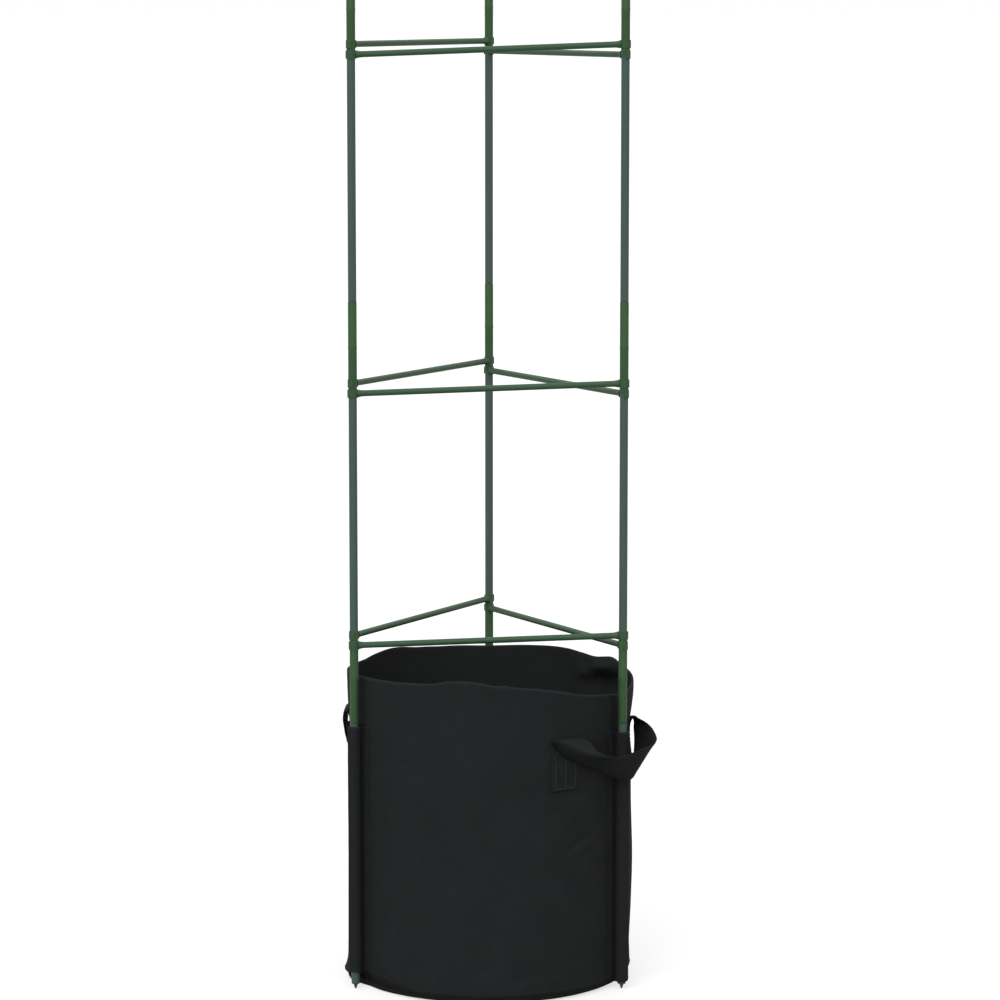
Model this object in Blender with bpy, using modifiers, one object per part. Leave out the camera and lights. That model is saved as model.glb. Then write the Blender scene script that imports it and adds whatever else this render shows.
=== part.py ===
# Tomato cage: three sectioned poles held in the sleeves of a round felt grow bag,
# with three levels of clip-on support arms.
# Metres, +Z up, front at -Y. The origin is the middle of the bag's underside,
# which is also the middle of the triangle of poles.

import math

import bmesh
import bpy
import numpy as np
from mathutils import Matrix, Vector

# Fits shared by everything
GAP = 0.0003                     # between pieces that touch

# Fineness of the shapes
ROUND_STEPS = 16                 # faces round a pole
WALL_COLUMNS = 72                # faces round the bag
WALL_ROWS = 6
BEND_POINTS = 5                  # across the bend at the edge of the bag's base
SLEEVE_POINTS = 9                # over the round of a sleeve
CLIP_POINTS = 17                 # round a clip
ROD_RESOLUTION = 3
TAB_FACES = 6                    # across and up the sewn end of a handle
SEWN_FACES = 4                   # of those, how many lie on the wall
STRAP_COLUMNS = 40
STRAP_ROWS = 3
SHARP_ANGLE = 35                 # degrees, steeper edges stay crisp
WELD = 0.00001

# Felt grow bag
BAG_RADIUS = 0.1395              # outside of the wall
BAG_FELT = 0.0022
RIM_HEIGHT = 0.301               # of the wall's upper edge, before its waves
BASE_EDGE_HEIGHT = 0.006         # where the base ends and the wall begins
BASE_FOOT_INSET = 0.0125         # from the wall in to the flat of the base
RIM_WAVES = (                    # angle in degrees from +X, height above or below the rim height
    (-150, 0.004), (-122, 0.008), (-100, 0.0115), (-82, 0.007), (-62, 0.001), (-42, -0.009),
    (-28, -0.0125), (-8, -0.006), (20, -0.001), (45, -0.004), (65, 0.001), (100, 0.0005),
    (135, 0.005), (160, -0.001), (185, 0.002),
)

# Poles
POLE_RADIUS = 0.004
POLE_WALL = 0.0008
POLE_STANDOFF = 0.00546          # clear space between the bag's wall and a pole
COUPLER_STEP = 0.0002            # from a pole out to the outside of a coupler
COUPLER_WALL = 0.0007
COUPLER_LENGTH = 0.0873
COUPLER_ROUNDING = 0.0004
SPIGOT_WALL = 0.0007
SECTION_PITCH = 0.3185           # from joint to joint
FIRST_JOINT = 0.3062             # height of the lowest joint
SECTION_COUNT = 4
POLE_FOOT = 0.0065               # height of a pole's lower end

# Ground spikes and pole caps
SPIKE_TIP = 0.0003               # just clear of the ground
SPIKE_SHANK = 0.016
SPIKE_NECK_RADIUS = 0.0021
SPIKE_TIP_RADIUS = 0.0008
SPIKE_FLANGE = 0.0010
SPIKE_ROUNDING = 0.0005
SHANK_TAPER = 0.0006             # how much thinner a shank is at its end
SHANK_LEAD = 0.0014              # length of that taper
CAP_SHANK = 0.012
CAP_HEIGHT = 0.0035
CAP_ROUNDING = 0.0010

# Support arms
ARM_RADIUS = 0.0029
LEVEL_HEIGHTS = (0.3478, 0.5905, 0.9107)   # of the upper clip of each level
LEVEL_DROP = 0.0098              # from the upper clip down to the lower one
CLIP_HEIGHT = 0.0078
CLIP_WALL = 0.0009
CLIP_SPREAD = 125                # degrees that a clip wraps to each side of its back

# Pole sleeves
SLEEVE_FELT = 0.0022
SLEEVE_SLACK = 0.0005            # between a pole and the inside of its sleeve
SLEEVE_FLANGE = 0.0034           # sewn strip on each side
SLEEVE_ENDS = {                  # height of the lower end, and the upper end's depth under the rim
    "left": (0.018, 0.042), "right": (0.0095, 0.047), "back": (0.014, 0.045),
}

# Carry handles
WEBBING_THICKNESS = 0.0015
TAB_WIDTH = 0.028
TAB_HEIGHT = 0.048
TAB_DEPTH = 0.047                # from the rim's height down to the top of the sewn part
RIGHT_TAB_ANGLES = (-59.5, 0.0)
LEFT_TAB_ANGLES = (176.0, 116.5)
STRAP_NECK = 0.010               # webbing bunched together where it bends
HINGE_RISE = 0.005               # bend above the top of the sewn part
HINGE_CLEARANCE = 0.0010         # from a handle lifted straight up to the wall
HINGE_ARM = 0.0025               # from the bend to where the loop begins, halfway down

# Both edges of a handle between its bends, as angle in degrees, distance from the wall and
# height from the bends. The right handle stands out round the pole, and the left one hangs.
RIGHT_OUTER_EDGE = (
    (-62.5, 0.0130, -0.0119), (-56.2, 0.0162, -0.0245), (-46.2, 0.0204, -0.0369), (-42.9, 0.0221, -0.0419),
    (-35.9, 0.0271, -0.0455), (-33.6, 0.0352, -0.0265), (-27.8, 0.0423, -0.0136), (-16.0, 0.0230, -0.0090),
    (-7.4, 0.0141, -0.0066),
)
RIGHT_INNER_EDGE = (
    (-52.1, 0.0088, -0.0043), (-49.1, 0.0113, -0.0097), (-45.5, 0.0153, -0.0152), (-39.6, 0.0205, -0.0197),
    (-33.7, 0.0251, -0.0218), (-30.6, 0.0215, -0.0195), (-26.1, 0.0160, -0.0160), (-21.4, 0.0120, -0.0130),
    (-12.8, 0.0062, -0.0080),
)
LEFT_OUTER_EDGE = (
    (177.2, 0.0066, -0.0065), (174.0, 0.0066, -0.0200), (168.0, 0.0085, -0.0340), (158.0, 0.0130, -0.0450),
    (146.2, 0.0155, -0.0490), (134.5, 0.0130, -0.0450), (124.5, 0.0085, -0.0340), (118.5, 0.0066, -0.0200),
    (115.3, 0.0066, -0.0065),
)
LEFT_INNER_EDGE = (
    (171.5, 0.0064, -0.0020), (168.5, 0.0085, -0.0060), (163.5, 0.0115, -0.0120), (155.5, 0.0155, -0.0195),
    (146.2, 0.0175, -0.0225), (137.0, 0.0155, -0.0195), (129.0, 0.0115, -0.0120), (124.0, 0.0085, -0.0060),
    (121.0, 0.0064, -0.0020),
)

# Colours, linear
TUBE_GREEN = (0.072, 0.112, 0.091)
COUPLER_GREEN = (0.051, 0.105, 0.054)
ARM_GREEN = (0.055, 0.110, 0.062)
BAG_BLACK = (0.0175, 0.0185, 0.0195)
WEBBING_BLACK = (0.0103, 0.0116, 0.0116)

# Places worked out from the sizes above
POLE_CIRCLE = BAG_RADIUS + POLE_STANDOFF + POLE_RADIUS
POLE_ANGLES = {"left": 210.0, "right": -30.0, "back": 90.0}
JOINT_HEIGHTS = [FIRST_JOINT + SECTION_PITCH * i for i in range(SECTION_COUNT - 1)]
POLE_TOP = FIRST_JOINT + SECTION_PITCH * (SECTION_COUNT - 1)
BORE_RADIUS = POLE_RADIUS - POLE_WALL
COUPLER_RADIUS = POLE_RADIUS + COUPLER_STEP
SPIGOT_RADIUS = COUPLER_RADIUS - COUPLER_WALL - GAP
TAB_TOP = RIM_HEIGHT - TAB_DEPTH

for old in list(bpy.data.objects):
    bpy.data.objects.remove(old, do_unlink=True)

parts = bpy.data.collections.new("tomato_cage")
bpy.context.scene.collection.children.link(parts)


def polar(angle, radius, height=0.0):
    turn = math.radians(angle)
    return Vector((radius * math.cos(turn), radius * math.sin(turn), height))


def pole_place(side):
    return polar(POLE_ANGLES[side], POLE_CIRCLE)


def finish(obj, colour, roughness, metallic=0.0):
    """Give the object its own material and put it in the part's collection."""
    material = bpy.data.materials.new(obj.name)
    material.use_nodes = True
    shader = material.node_tree.nodes["Principled BSDF"]
    shader.inputs["Base Color"].default_value = (*colour, 1.0)
    shader.inputs["Roughness"].default_value = roughness
    shader.inputs["Metallic"].default_value = metallic
    obj.material_slots[0].link = "OBJECT"
    obj.material_slots[0].material = material
    parts.objects.link(obj)
    return obj


def mesh_object(name, mesh):
    if not mesh.materials:
        mesh.materials.append(None)
    return bpy.data.objects.new(name, mesh)


def turned_mesh(name, profile, closed, steps=ROUND_STEPS):
    """Turn a profile of (radius, height) pairs, given down its outer side, about Z."""
    mesh = bpy.data.meshes.new(name)
    corners = [(radius, 0.0, height) for radius, height in profile]
    edges = [(i, i + 1) for i in range(len(corners) - 1)]
    if closed:
        edges.append((len(corners) - 1, 0))
    mesh.from_pydata(corners, edges, [])
    blank = bpy.data.objects.new(name, mesh)
    parts.objects.link(blank)
    screw = blank.modifiers.new("turn", "SCREW")
    screw.angle = math.tau
    screw.steps = steps
    screw.render_steps = steps
    screw.use_merge_vertices = True
    screw.merge_threshold = WELD
    screw.use_smooth_shade = True
    turned = evaluated_mesh(blank, name)
    turned.set_sharp_from_angle(angle=math.radians(SHARP_ANGLE))
    bpy.data.objects.remove(blank, do_unlink=True)
    return turned


def evaluated_mesh(obj, name):
    """The object's mesh with its modifiers applied and its caps welded."""
    bpy.context.view_layer.update()
    graph = bpy.context.evaluated_depsgraph_get()
    mesh = bpy.data.meshes.new_from_object(obj.evaluated_get(graph), depsgraph=graph)
    mesh.name = name
    welder = bmesh.new()
    welder.from_mesh(mesh)
    bmesh.ops.remove_doubles(welder, verts=welder.verts, dist=WELD)
    welder.to_mesh(mesh)
    welder.free()
    return mesh


def sheet(name, columns, rows, thickness, place, closed=False):
    """A sheet of cloth: place() gives the middle of its thickness at (across, up), each 0 to 1."""
    mesh = bpy.data.meshes.new(name)
    grid = bmesh.new()
    bmesh.ops.create_grid(grid, x_segments=columns, y_segments=rows, size=0.5)
    for vert in grid.verts:
        vert.co = place(vert.co.x + 0.5, vert.co.y + 0.5)
    if closed:
        bmesh.ops.remove_doubles(grid, verts=grid.verts, dist=WELD)
    for face in grid.faces:
        face.smooth = True
    grid.to_mesh(mesh)
    grid.free()
    obj = mesh_object(name, mesh)
    shell = obj.modifiers.new("thickness", "SOLIDIFY")
    shell.thickness = thickness
    shell.offset = 0.0
    return obj


def smooth_line(points, where):
    """A smooth curve through the points, at where from 0 to 1 of their run."""
    count = len(points) - 1
    span = min(int(where * count), count - 1)
    t = where * count - span
    before = points[max(span - 1, 0)]
    start = points[span]
    end = points[span + 1]
    after = points[min(span + 2, count)]
    return tuple(
        0.5 * (2 * b + (c - a) * t + (2 * a - 5 * b + 4 * c - d) * t * t + (3 * b - a - 3 * c + d) * t ** 3)
        for a, b, c, d in zip(before, start, end, after)
    )


def rim_height(angle):
    """Height of the bag's upper edge at an angle in degrees, waves eased from one to the next."""
    ring = sorted(((a % 360.0, h) for a, h in RIM_WAVES))
    ring = [(ring[-1][0] - 360.0, ring[-1][1])] + ring + [(ring[0][0] + 360.0, ring[0][1])]
    angle %= 360.0
    for (a, low), (b, high) in zip(ring, ring[1:]):
        if a <= angle <= b:
            ease = 0.5 - 0.5 * math.cos(math.pi * (angle - a) / (b - a))
            return RIM_HEIGHT + low + (high - low) * ease
    return RIM_HEIGHT


def make_bag_wall():
    middle = BAG_RADIUS - BAG_FELT / 2
    foot = BASE_EDGE_HEIGHT + GAP

    def place(across, up):
        angle = 360.0 * across
        return polar(angle, middle, foot + (rim_height(angle) - foot) * up)

    finish(sheet("bag_wall", WALL_COLUMNS, WALL_ROWS, BAG_FELT, place, closed=True), BAG_BLACK, 0.95)


def make_bag_base():
    """A felt dish: flat underneath, turned up at the edge to meet the wall."""
    flat = BAG_RADIUS - BASE_FOOT_INSET
    rise = BASE_EDGE_HEIGHT
    bend = BASE_FOOT_INSET
    outside = [(flat + bend * math.sin(t), rise * (1 - math.cos(t)))
               for t in np.linspace(math.pi / 2, 0, BEND_POINTS)]
    inside_bend = bend - BAG_FELT
    inside_rise = rise - BAG_FELT
    inside = [(flat + inside_bend * math.sin(t), BAG_FELT + inside_rise * (1 - math.cos(t)))
              for t in np.linspace(0, math.pi / 2, BEND_POINTS)]
    profile = outside + [(0.0, 0.0)] + [(0.0, BAG_FELT)] + inside
    mesh = turned_mesh("bag_base", profile, closed=True, steps=WALL_COLUMNS)
    finish(mesh_object("bag_base", mesh), BAG_BLACK, 0.95)


def sleeve_outline():
    """Section across a sleeve: x out from the bag's wall, y along it, in order round the edge."""
    foot = GAP
    axis = POLE_STANDOFF + POLE_RADIUS
    inner = POLE_RADIUS + SLEEVE_SLACK
    outer = inner + SLEEVE_FELT
    flange = outer + SLEEVE_FLANGE
    top = foot + SLEEVE_FELT
    arc = np.linspace(-math.pi / 2, math.pi / 2, SLEEVE_POINTS)
    outside = [(axis + outer * math.cos(t), outer * math.sin(t)) for t in arc]
    inside = [(axis + inner * math.cos(t), inner * math.sin(t)) for t in arc[::-1]]
    right = [(foot, -inner), (foot, -flange), (top, -flange), (top, -outer)]
    left = [(top, outer), (top, flange), (foot, flange), (foot, inner)]
    return right + outside + left + inside


def flat_piece(name, outline, thickness):
    """A flat closed outline in XY, thick about Z = 0, as a welded mesh."""
    curve = bpy.data.curves.new(name, "CURVE")
    curve.dimensions = "2D"
    curve.fill_mode = "BOTH"
    curve.extrude = thickness / 2
    spline = curve.splines.new("POLY")
    spline.points.add(len(outline) - 1)
    for point, (x, y) in zip(spline.points, outline):
        point.co = (x, y, 0.0, 1.0)
    spline.use_cyclic_u = True
    blank = bpy.data.objects.new(name, curve)
    parts.objects.link(blank)
    mesh = evaluated_mesh(blank, name)
    bpy.data.objects.remove(blank, do_unlink=True)
    return mesh


def make_sleeve(side):
    low, depth = SLEEVE_ENDS[side]
    high = RIM_HEIGHT - depth
    name = "pole_sleeve_" + side
    obj = mesh_object(name, flat_piece(name, sleeve_outline(), high - low))
    obj.location = polar(POLE_ANGLES[side], BAG_RADIUS, (low + high) / 2)
    obj.rotation_euler.z = math.radians(POLE_ANGLES[side])
    finish(obj, BAG_BLACK, 0.95)


def pole_profile(low, high, spigot_below, spigot_above):
    """Wall of one tube section: the necked spigots go into the couplers at its ends."""
    reach = COUPLER_LENGTH / 2
    neck = SPIGOT_RADIUS - SPIGOT_WALL
    outer, inner = [], []
    if spigot_above:
        outer += [(SPIGOT_RADIUS, high - GAP), (SPIGOT_RADIUS, high - reach - GAP)]
        inner += [(neck, high - GAP), (neck, high - reach - GAP - POLE_WALL)]
        top = high - reach - GAP
    else:
        top = high
    bottom = low + reach + GAP if spigot_below else low
    outer += [(POLE_RADIUS, top), (POLE_RADIUS, bottom)]
    inner += [(BORE_RADIUS, top - POLE_WALL if spigot_above else top)]
    inner += [(BORE_RADIUS, bottom + POLE_WALL if spigot_below else bottom)]
    if spigot_below:
        outer += [(SPIGOT_RADIUS, bottom), (SPIGOT_RADIUS, low + GAP)]
        inner += [(neck, bottom + POLE_WALL), (neck, low + GAP)]
    return outer + inner[::-1]


def make_pole(side):
    ends = [POLE_FOOT] + JOINT_HEIGHTS + [POLE_TOP]
    for i, (low, high) in enumerate(zip(ends, ends[1:])):
        name = f"pole_{side}_{i + 1}"
        profile = pole_profile(low, high, spigot_below=i > 0, spigot_above=i < SECTION_COUNT - 1)
        obj = mesh_object(name, turned_mesh(name, profile, closed=True))
        obj.location = pole_place(side)
        finish(obj, TUBE_GREEN, 0.45, 0.1)


def make_couplers(side):
    """Plastic tubes over the joints, with a small rounding at both ends."""
    half = COUPLER_LENGTH / 2
    bore = SPIGOT_RADIUS + GAP
    soft = COUPLER_ROUNDING
    profile = [
        (COUPLER_RADIUS - soft, half), (COUPLER_RADIUS, half - soft),
        (COUPLER_RADIUS, soft - half), (COUPLER_RADIUS - soft, -half),
        (bore, -half), (bore, half),
    ]
    mesh = turned_mesh("coupler", profile, closed=True)
    for i, height in enumerate(JOINT_HEIGHTS):
        obj = mesh_object(f"coupler_{side}_{i + 1}", mesh)
        obj.location = pole_place(side) + Vector((0, 0, height))
        finish(obj, COUPLER_GREEN, 0.4)


def make_ground_spike(side):
    """A pointed foot: shank in the tube, flange under its end, pin down to the ground."""
    shank = BORE_RADIUS - GAP
    seat = POLE_FOOT - GAP
    under = seat - SPIKE_FLANGE
    end = seat + SPIKE_SHANK
    profile = [
        (0.0, end), (shank - SHANK_TAPER, end), (shank, end - SHANK_LEAD), (shank, seat),
        (POLE_RADIUS, seat), (POLE_RADIUS - SPIKE_ROUNDING, under),
        (SPIKE_NECK_RADIUS, under), (SPIKE_TIP_RADIUS, SPIKE_TIP), (0.0, SPIKE_TIP),
    ]
    name = "ground_spike_" + side
    obj = mesh_object(name, turned_mesh(name, profile, closed=False))
    obj.location = pole_place(side)
    finish(obj, TUBE_GREEN, 0.5)


def make_pole_cap(side):
    """A push-in cap with a flat top."""
    shank = BORE_RADIUS - GAP
    seat = POLE_TOP + GAP
    top = seat + CAP_HEIGHT
    end = seat - CAP_SHANK
    profile = [
        (0.0, top), (POLE_RADIUS - CAP_ROUNDING, top), (POLE_RADIUS, top - CAP_ROUNDING),
        (POLE_RADIUS, seat), (shank, seat), (shank, end + SHANK_LEAD),
        (shank - SHANK_TAPER, end), (0.0, end),
    ]
    name = "pole_cap_" + side
    obj = mesh_object(name, turned_mesh(name, profile, closed=False))
    obj.location = pole_place(side)
    finish(obj, COUPLER_GREEN, 0.4)


def clip_outline():
    """A C with its back at +X, round the pole at the origin, open towards -X."""
    inner = COUPLER_RADIUS + GAP
    outer = inner + CLIP_WALL
    middle = (inner + outer) / 2
    spread = math.radians(CLIP_SPREAD)
    tip = CLIP_WALL / 2 / middle
    sweep = np.linspace(-spread, spread, CLIP_POINTS)
    outside = [(outer * math.cos(t), outer * math.sin(t)) for t in sweep]
    inside = [(inner * math.cos(t), inner * math.sin(t)) for t in sweep[::-1]]
    left_tip = [(middle * math.cos(spread + tip), middle * math.sin(spread + tip))]
    right_tip = [(middle * math.cos(spread + tip), -middle * math.sin(spread + tip))]
    return outside + left_tip + inside + right_tip


def rod_mesh(name, start, end):
    curve = bpy.data.curves.new(name, "CURVE")
    curve.dimensions = "3D"
    curve.bevel_depth = ARM_RADIUS
    curve.bevel_resolution = ROD_RESOLUTION
    curve.use_fill_caps = True
    spline = curve.splines.new("POLY")
    spline.points.add(1)
    spline.points[0].co = (*start, 1.0)
    spline.points[1].co = (*end, 1.0)
    blank = bpy.data.objects.new(name, curve)
    parts.objects.link(blank)
    mesh = evaluated_mesh(blank, name)
    bpy.data.objects.remove(blank, do_unlink=True)
    return mesh


def fused_mesh(name, meshes):
    """Join closed meshes that run into each other into one solid."""
    blanks = [bpy.data.objects.new(name, mesh) for mesh in meshes]
    for blank in blanks:
        parts.objects.link(blank)
    for other in blanks[1:]:
        union = blanks[0].modifiers.new("join", "BOOLEAN")
        union.operation = "UNION"
        union.object = other
    mesh = evaluated_mesh(blanks[0], name)
    for blank in blanks:
        bpy.data.objects.remove(blank, do_unlink=True)
    mesh.shade_smooth()
    mesh.set_sharp_from_angle(angle=math.radians(SHARP_ANGLE))
    return mesh


def arm_mesh(name, first, second, first_drop, second_drop):
    """One arm between two poles: a rod from clip to clip, its clips open towards the middle."""
    start = pole_place(first) - Vector((0, 0, first_drop))
    end = pole_place(second) - Vector((0, 0, second_drop))
    along = (end - start).normalized()
    reach = COUPLER_RADIUS + GAP + CLIP_WALL / 4
    rod = rod_mesh(name, start + along * reach, end - along * reach)
    back = ((start + end) / 2).to_2d().normalized()
    facing = math.atan2(back.y, back.x)
    pieces = [rod]
    for corner in (start, end):
        clip = flat_piece(name, clip_outline(), CLIP_HEIGHT)
        clip.transform(Matrix.Translation(corner) @ Matrix.Rotation(facing, 4, "Z"))
        pieces.append(clip)
    return fused_mesh(name, pieces)


def make_arms():
    """Three arms a level. The back-left arm is clipped on high and the back-right arm low."""
    kinds = {
        "front": ("left", "right", LEVEL_DROP, 0.0),
        "back_left": ("left", "back", 0.0, 0.0),
        "back_right": ("right", "back", LEVEL_DROP, LEVEL_DROP),
    }
    for kind, (first, second, first_drop, second_drop) in kinds.items():
        mesh = arm_mesh("arm_" + kind, first, second, first_drop, second_drop)
        for level, height in enumerate(LEVEL_HEIGHTS):
            obj = mesh_object(f"arm_{kind}_{level + 1}", mesh)
            obj.location.z = height
            finish(obj, ARM_GREEN, 0.4)


def hinge_line(angles):
    """Where a handle bends: both ends of the line, the way along it and the way out from the bag.

    The line is straight and the wall bulges between its ends, so it lies just far enough out."""
    first, second = (polar(angle, 1.0) for angle in angles)
    outward = (first + second).normalized()
    along = (second - first).normalized()
    reach = (BAG_RADIUS + WEBBING_THICKNESS) * math.sin(math.radians(abs(angles[0] - angles[1])) / 2)
    wall = math.sqrt(BAG_RADIUS ** 2 - (reach - STRAP_NECK / 2) ** 2)
    middle = outward * (wall + WEBBING_THICKNESS / 2 + HINGE_CLEARANCE)
    middle.z = TAB_TOP + HINGE_RISE
    return middle - along * reach, middle + along * reach, along, outward


def make_tab(name, angles, end):
    """A sewn end of a handle: webbing flat on the wall, its top drawn out to the bend."""
    bend = hinge_line(angles)[end]
    along = hinge_line(angles)[2]
    radius = BAG_RADIUS + GAP + WEBBING_THICKNESS / 2
    half = math.degrees(TAB_WIDTH / 2 / radius)
    turn = 1 if angles[1] > angles[0] else -1
    sewn = SEWN_FACES / TAB_FACES

    def place(across, up):
        flat = polar(angles[end] + turn * half * (2 * across - 1), radius)
        flat.z = TAB_TOP - TAB_HEIGHT * (1 - min(up / sewn, 1.0))
        edge = bend + along * (STRAP_NECK * (across - 0.5))
        return flat.lerp(edge, max(up - sewn, 0.0) / (1 - sewn))

    finish(sheet(name, TAB_FACES, TAB_FACES, WEBBING_THICKNESS, place), WEBBING_BLACK, 0.85)


def strap_edge(angles, edge, side):
    """Points along one edge of a handle, from neck to neck. Side is -1 for the outer edge."""
    first, second, along, outward = hinge_line(angles)
    start = (outward - Vector((0, 0, 1))).normalized() * HINGE_ARM
    across = along * (side * STRAP_NECK / 2)
    between = [polar(angle, BAG_RADIUS + out, TAB_TOP + HINGE_RISE + up) for angle, out, up in edge]
    return [first + start + across] + between + [second + start - across]


def make_strap(name, angles, outer_edge, inner_edge):
    """A handle: webbing between its two edges. Its origin is on the line that it turns about."""
    pivot = hinge_line(angles)[0]
    outer = strap_edge(angles, outer_edge, -1)
    inner = strap_edge(angles, inner_edge, 1)

    def place(across, up):
        low = Vector(smooth_line(outer, across))
        high = Vector(smooth_line(inner, across))
        return low.lerp(high, up) - pivot

    obj = sheet(name, STRAP_COLUMNS, STRAP_ROWS, WEBBING_THICKNESS, place)
    obj.location = pivot
    finish(obj, WEBBING_BLACK, 0.85)


make_bag_wall()
make_bag_base()
for pole in POLE_ANGLES:
    make_sleeve(pole)
    make_pole(pole)
    make_couplers(pole)
    make_ground_spike(pole)
    make_pole_cap(pole)
make_arms()
for number, spot in enumerate(("front", "back")):
    make_tab("handle_end_right_" + spot, RIGHT_TAB_ANGLES, number)
    make_tab("handle_end_left_" + spot, LEFT_TAB_ANGLES, number)
make_strap("handle_right", RIGHT_TAB_ANGLES, RIGHT_OUTER_EDGE, RIGHT_INNER_EDGE)
make_strap("handle_left", LEFT_TAB_ANGLES, LEFT_OUTER_EDGE, LEFT_INNER_EDGE)
bpy.context.view_layer.update()
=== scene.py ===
import math

import bpy
import numpy as np
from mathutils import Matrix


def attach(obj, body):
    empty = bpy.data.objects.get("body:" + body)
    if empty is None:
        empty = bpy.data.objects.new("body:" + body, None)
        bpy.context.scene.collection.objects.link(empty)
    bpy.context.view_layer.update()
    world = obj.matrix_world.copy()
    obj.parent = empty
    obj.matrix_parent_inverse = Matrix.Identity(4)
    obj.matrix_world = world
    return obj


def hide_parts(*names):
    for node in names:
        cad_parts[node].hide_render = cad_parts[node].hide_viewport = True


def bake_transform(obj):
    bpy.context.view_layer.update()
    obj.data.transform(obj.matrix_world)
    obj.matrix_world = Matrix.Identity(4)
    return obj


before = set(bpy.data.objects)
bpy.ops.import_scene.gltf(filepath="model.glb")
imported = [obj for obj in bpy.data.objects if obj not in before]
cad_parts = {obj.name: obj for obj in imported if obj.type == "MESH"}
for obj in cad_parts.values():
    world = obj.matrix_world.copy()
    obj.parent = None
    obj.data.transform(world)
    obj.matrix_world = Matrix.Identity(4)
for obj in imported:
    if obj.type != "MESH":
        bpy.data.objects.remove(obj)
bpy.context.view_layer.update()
scene = bpy.context.scene

# Camera: far off, above the bag and tilted down at it, with a long lens
camera = {
    "place": (0.01106, -3.6655, 0.9635),
    "tiltDown": 7.689,  # degrees
    "lens": 136.70,  # mm
    "sensor": 36.0,  # mm
    "farClip": 400.0,
}
cameraData = bpy.data.cameras.new("camera")
cameraData.lens = camera["lens"]
cameraData.sensor_width = camera["sensor"]
cameraData.clip_end = camera["farClip"]
cameraObject = bpy.data.objects.new("camera", cameraData)
cameraObject.location = camera["place"]
cameraObject.rotation_euler = (math.radians(90 - camera["tiltDown"]), 0.0, 0.0)
scene.collection.objects.link(cameraObject)
scene.camera = cameraObject
scene.view_settings.view_transform = "Standard"
print("camera set")


# A socket of a material, so that sums of sockets read as sums: each operator adds a Math node.
class Socket:
    def __init__(self, tree, socket=None):
        self.tree = tree
        self.socket = socket

    # Any node: its type, its settings, then the values or links of its inputs.
    def node(self, kind, settings=None, inputs=None, output=0):
        made = self.tree.nodes.new("ShaderNode" + kind)
        for key, value in (settings or {}).items():
            setattr(made, key, value)
        for key, value in (inputs or {}).items():
            if isinstance(value, Socket):
                self.tree.links.new(value.socket, made.inputs[key])
            else:
                made.inputs[key].default_value = value
        return Socket(self.tree, made.outputs[output])

    def maths(self, operation, *others):
        return self.node("Math", {"operation": operation}, dict(enumerate((self, *others))))

    def __add__(self, other):
        return self.maths("ADD", other)

    def __sub__(self, other):
        return self.maths("SUBTRACT", other)

    def __rsub__(self, other):
        return self.node("Math", {"operation": "SUBTRACT"}, {0: other, 1: self})

    def __mul__(self, other):
        return self.maths("MULTIPLY", other)

    __radd__ = __add__
    __rmul__ = __mul__

    # 0 below low, 1 above high, smooth between
    def step(self, low, high):
        return self.node("MapRange", {"interpolation_type": "SMOOTHSTEP"},
                         {"Value": self, "From Min": low, "From Max": high})

    def noise(self, scale, detail=3.0, roughness=0.55, distortion=0.0):
        return self.node("TexNoise", None, {"Vector": self, "Scale": scale, "Detail": detail,
                                            "Roughness": roughness, "Distortion": distortion})

    def stretched(self, scale):
        return self.node("Mapping", None, {"Vector": self, "Scale": scale})

    def blend(self, dark, light):
        return self.node("Mix", {"data_type": "RGBA"}, {0: self, 6: (*dark, 1.0), 7: (*light, 1.0)}, 2)

    # A colour made paler by painted light above 0 or darker by painted shade below it.
    def paintLight(self, paintedLight):
        return self.node("VectorMath", {"operation": "SCALE"}, {0: self, "Scale": paintedLight + 1.0})


# A material with its shader's constants set, and the place in space to build on.
def newMaterial(name, fixed):
    material = bpy.data.materials.new(name)
    material.use_nodes = True
    for key, value in fixed.items():
        material.node_tree.nodes["Principled BSDF"].inputs[key].default_value = value
    return material, Socket(material.node_tree).node("TexCoord", output="Object")


# Links what changes over the surface: a height as bump of some depth, and other inputs by name.
def feed(material, height, depth, **values):
    inputs = material.node_tree.nodes["Principled BSDF"].inputs
    bump = height.node("Bump", None, {"Strength": 1.0, "Distance": depth, "Height": height})
    for key, value in {"Normal": bump, **values}.items():
        height.tree.links.new(value.socket, inputs[key.replace("_", " ")])
    return material


def shade(colour, amount):
    return tuple(channel * amount for channel in colour)


# Colours of the materials
finishes = {
    "tube": (0.057, 0.092, 0.073),
    "coupler": (0.036, 0.086, 0.034),
    "arm": (0.034, 0.077, 0.039),
    "felt": (0.0181, 0.0190, 0.0198),
    "webbing": (0.0150, 0.0160, 0.0162),
    "thread": (0.0105, 0.0110, 0.0112),
    "tapeThread": (0.024, 0.024, 0.022),
    "floor": (0.35, 0.35, 0.35),
}


# Plastic coat drawn on along the tube: long faint streaks, orange peel, scuffs.
def coatedTube(name, colour):
    material, place = newMaterial(name, {"Specular IOR Level": 0.2, "IOR": 1.48})
    streak = place.stretched((420.0, 420.0, 14.0)).noise(1.0, 4.0)
    cloud = place.noise(26.0, 3.0)
    peel = place.noise(1500.0, 2.0, 0.5)
    scuff = place.stretched((900.0, 900.0, 120.0)).noise(1.0, 5.0, 0.7).step(0.66, 0.74)
    tone = (streak * 0.45 + cloud * 0.55 - 0.5) * 1.3 + 0.5
    tone = tone + scuff * 0.25
    return feed(material, peel * 0.7 + streak * 0.3 - scuff * 0.4, 0.00005,
                Base_Color=tone.blend(shade(colour, 0.86), shade(colour, 1.15)),
                Roughness=cloud * 0.14 + 0.44 + scuff * 0.16)


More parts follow.
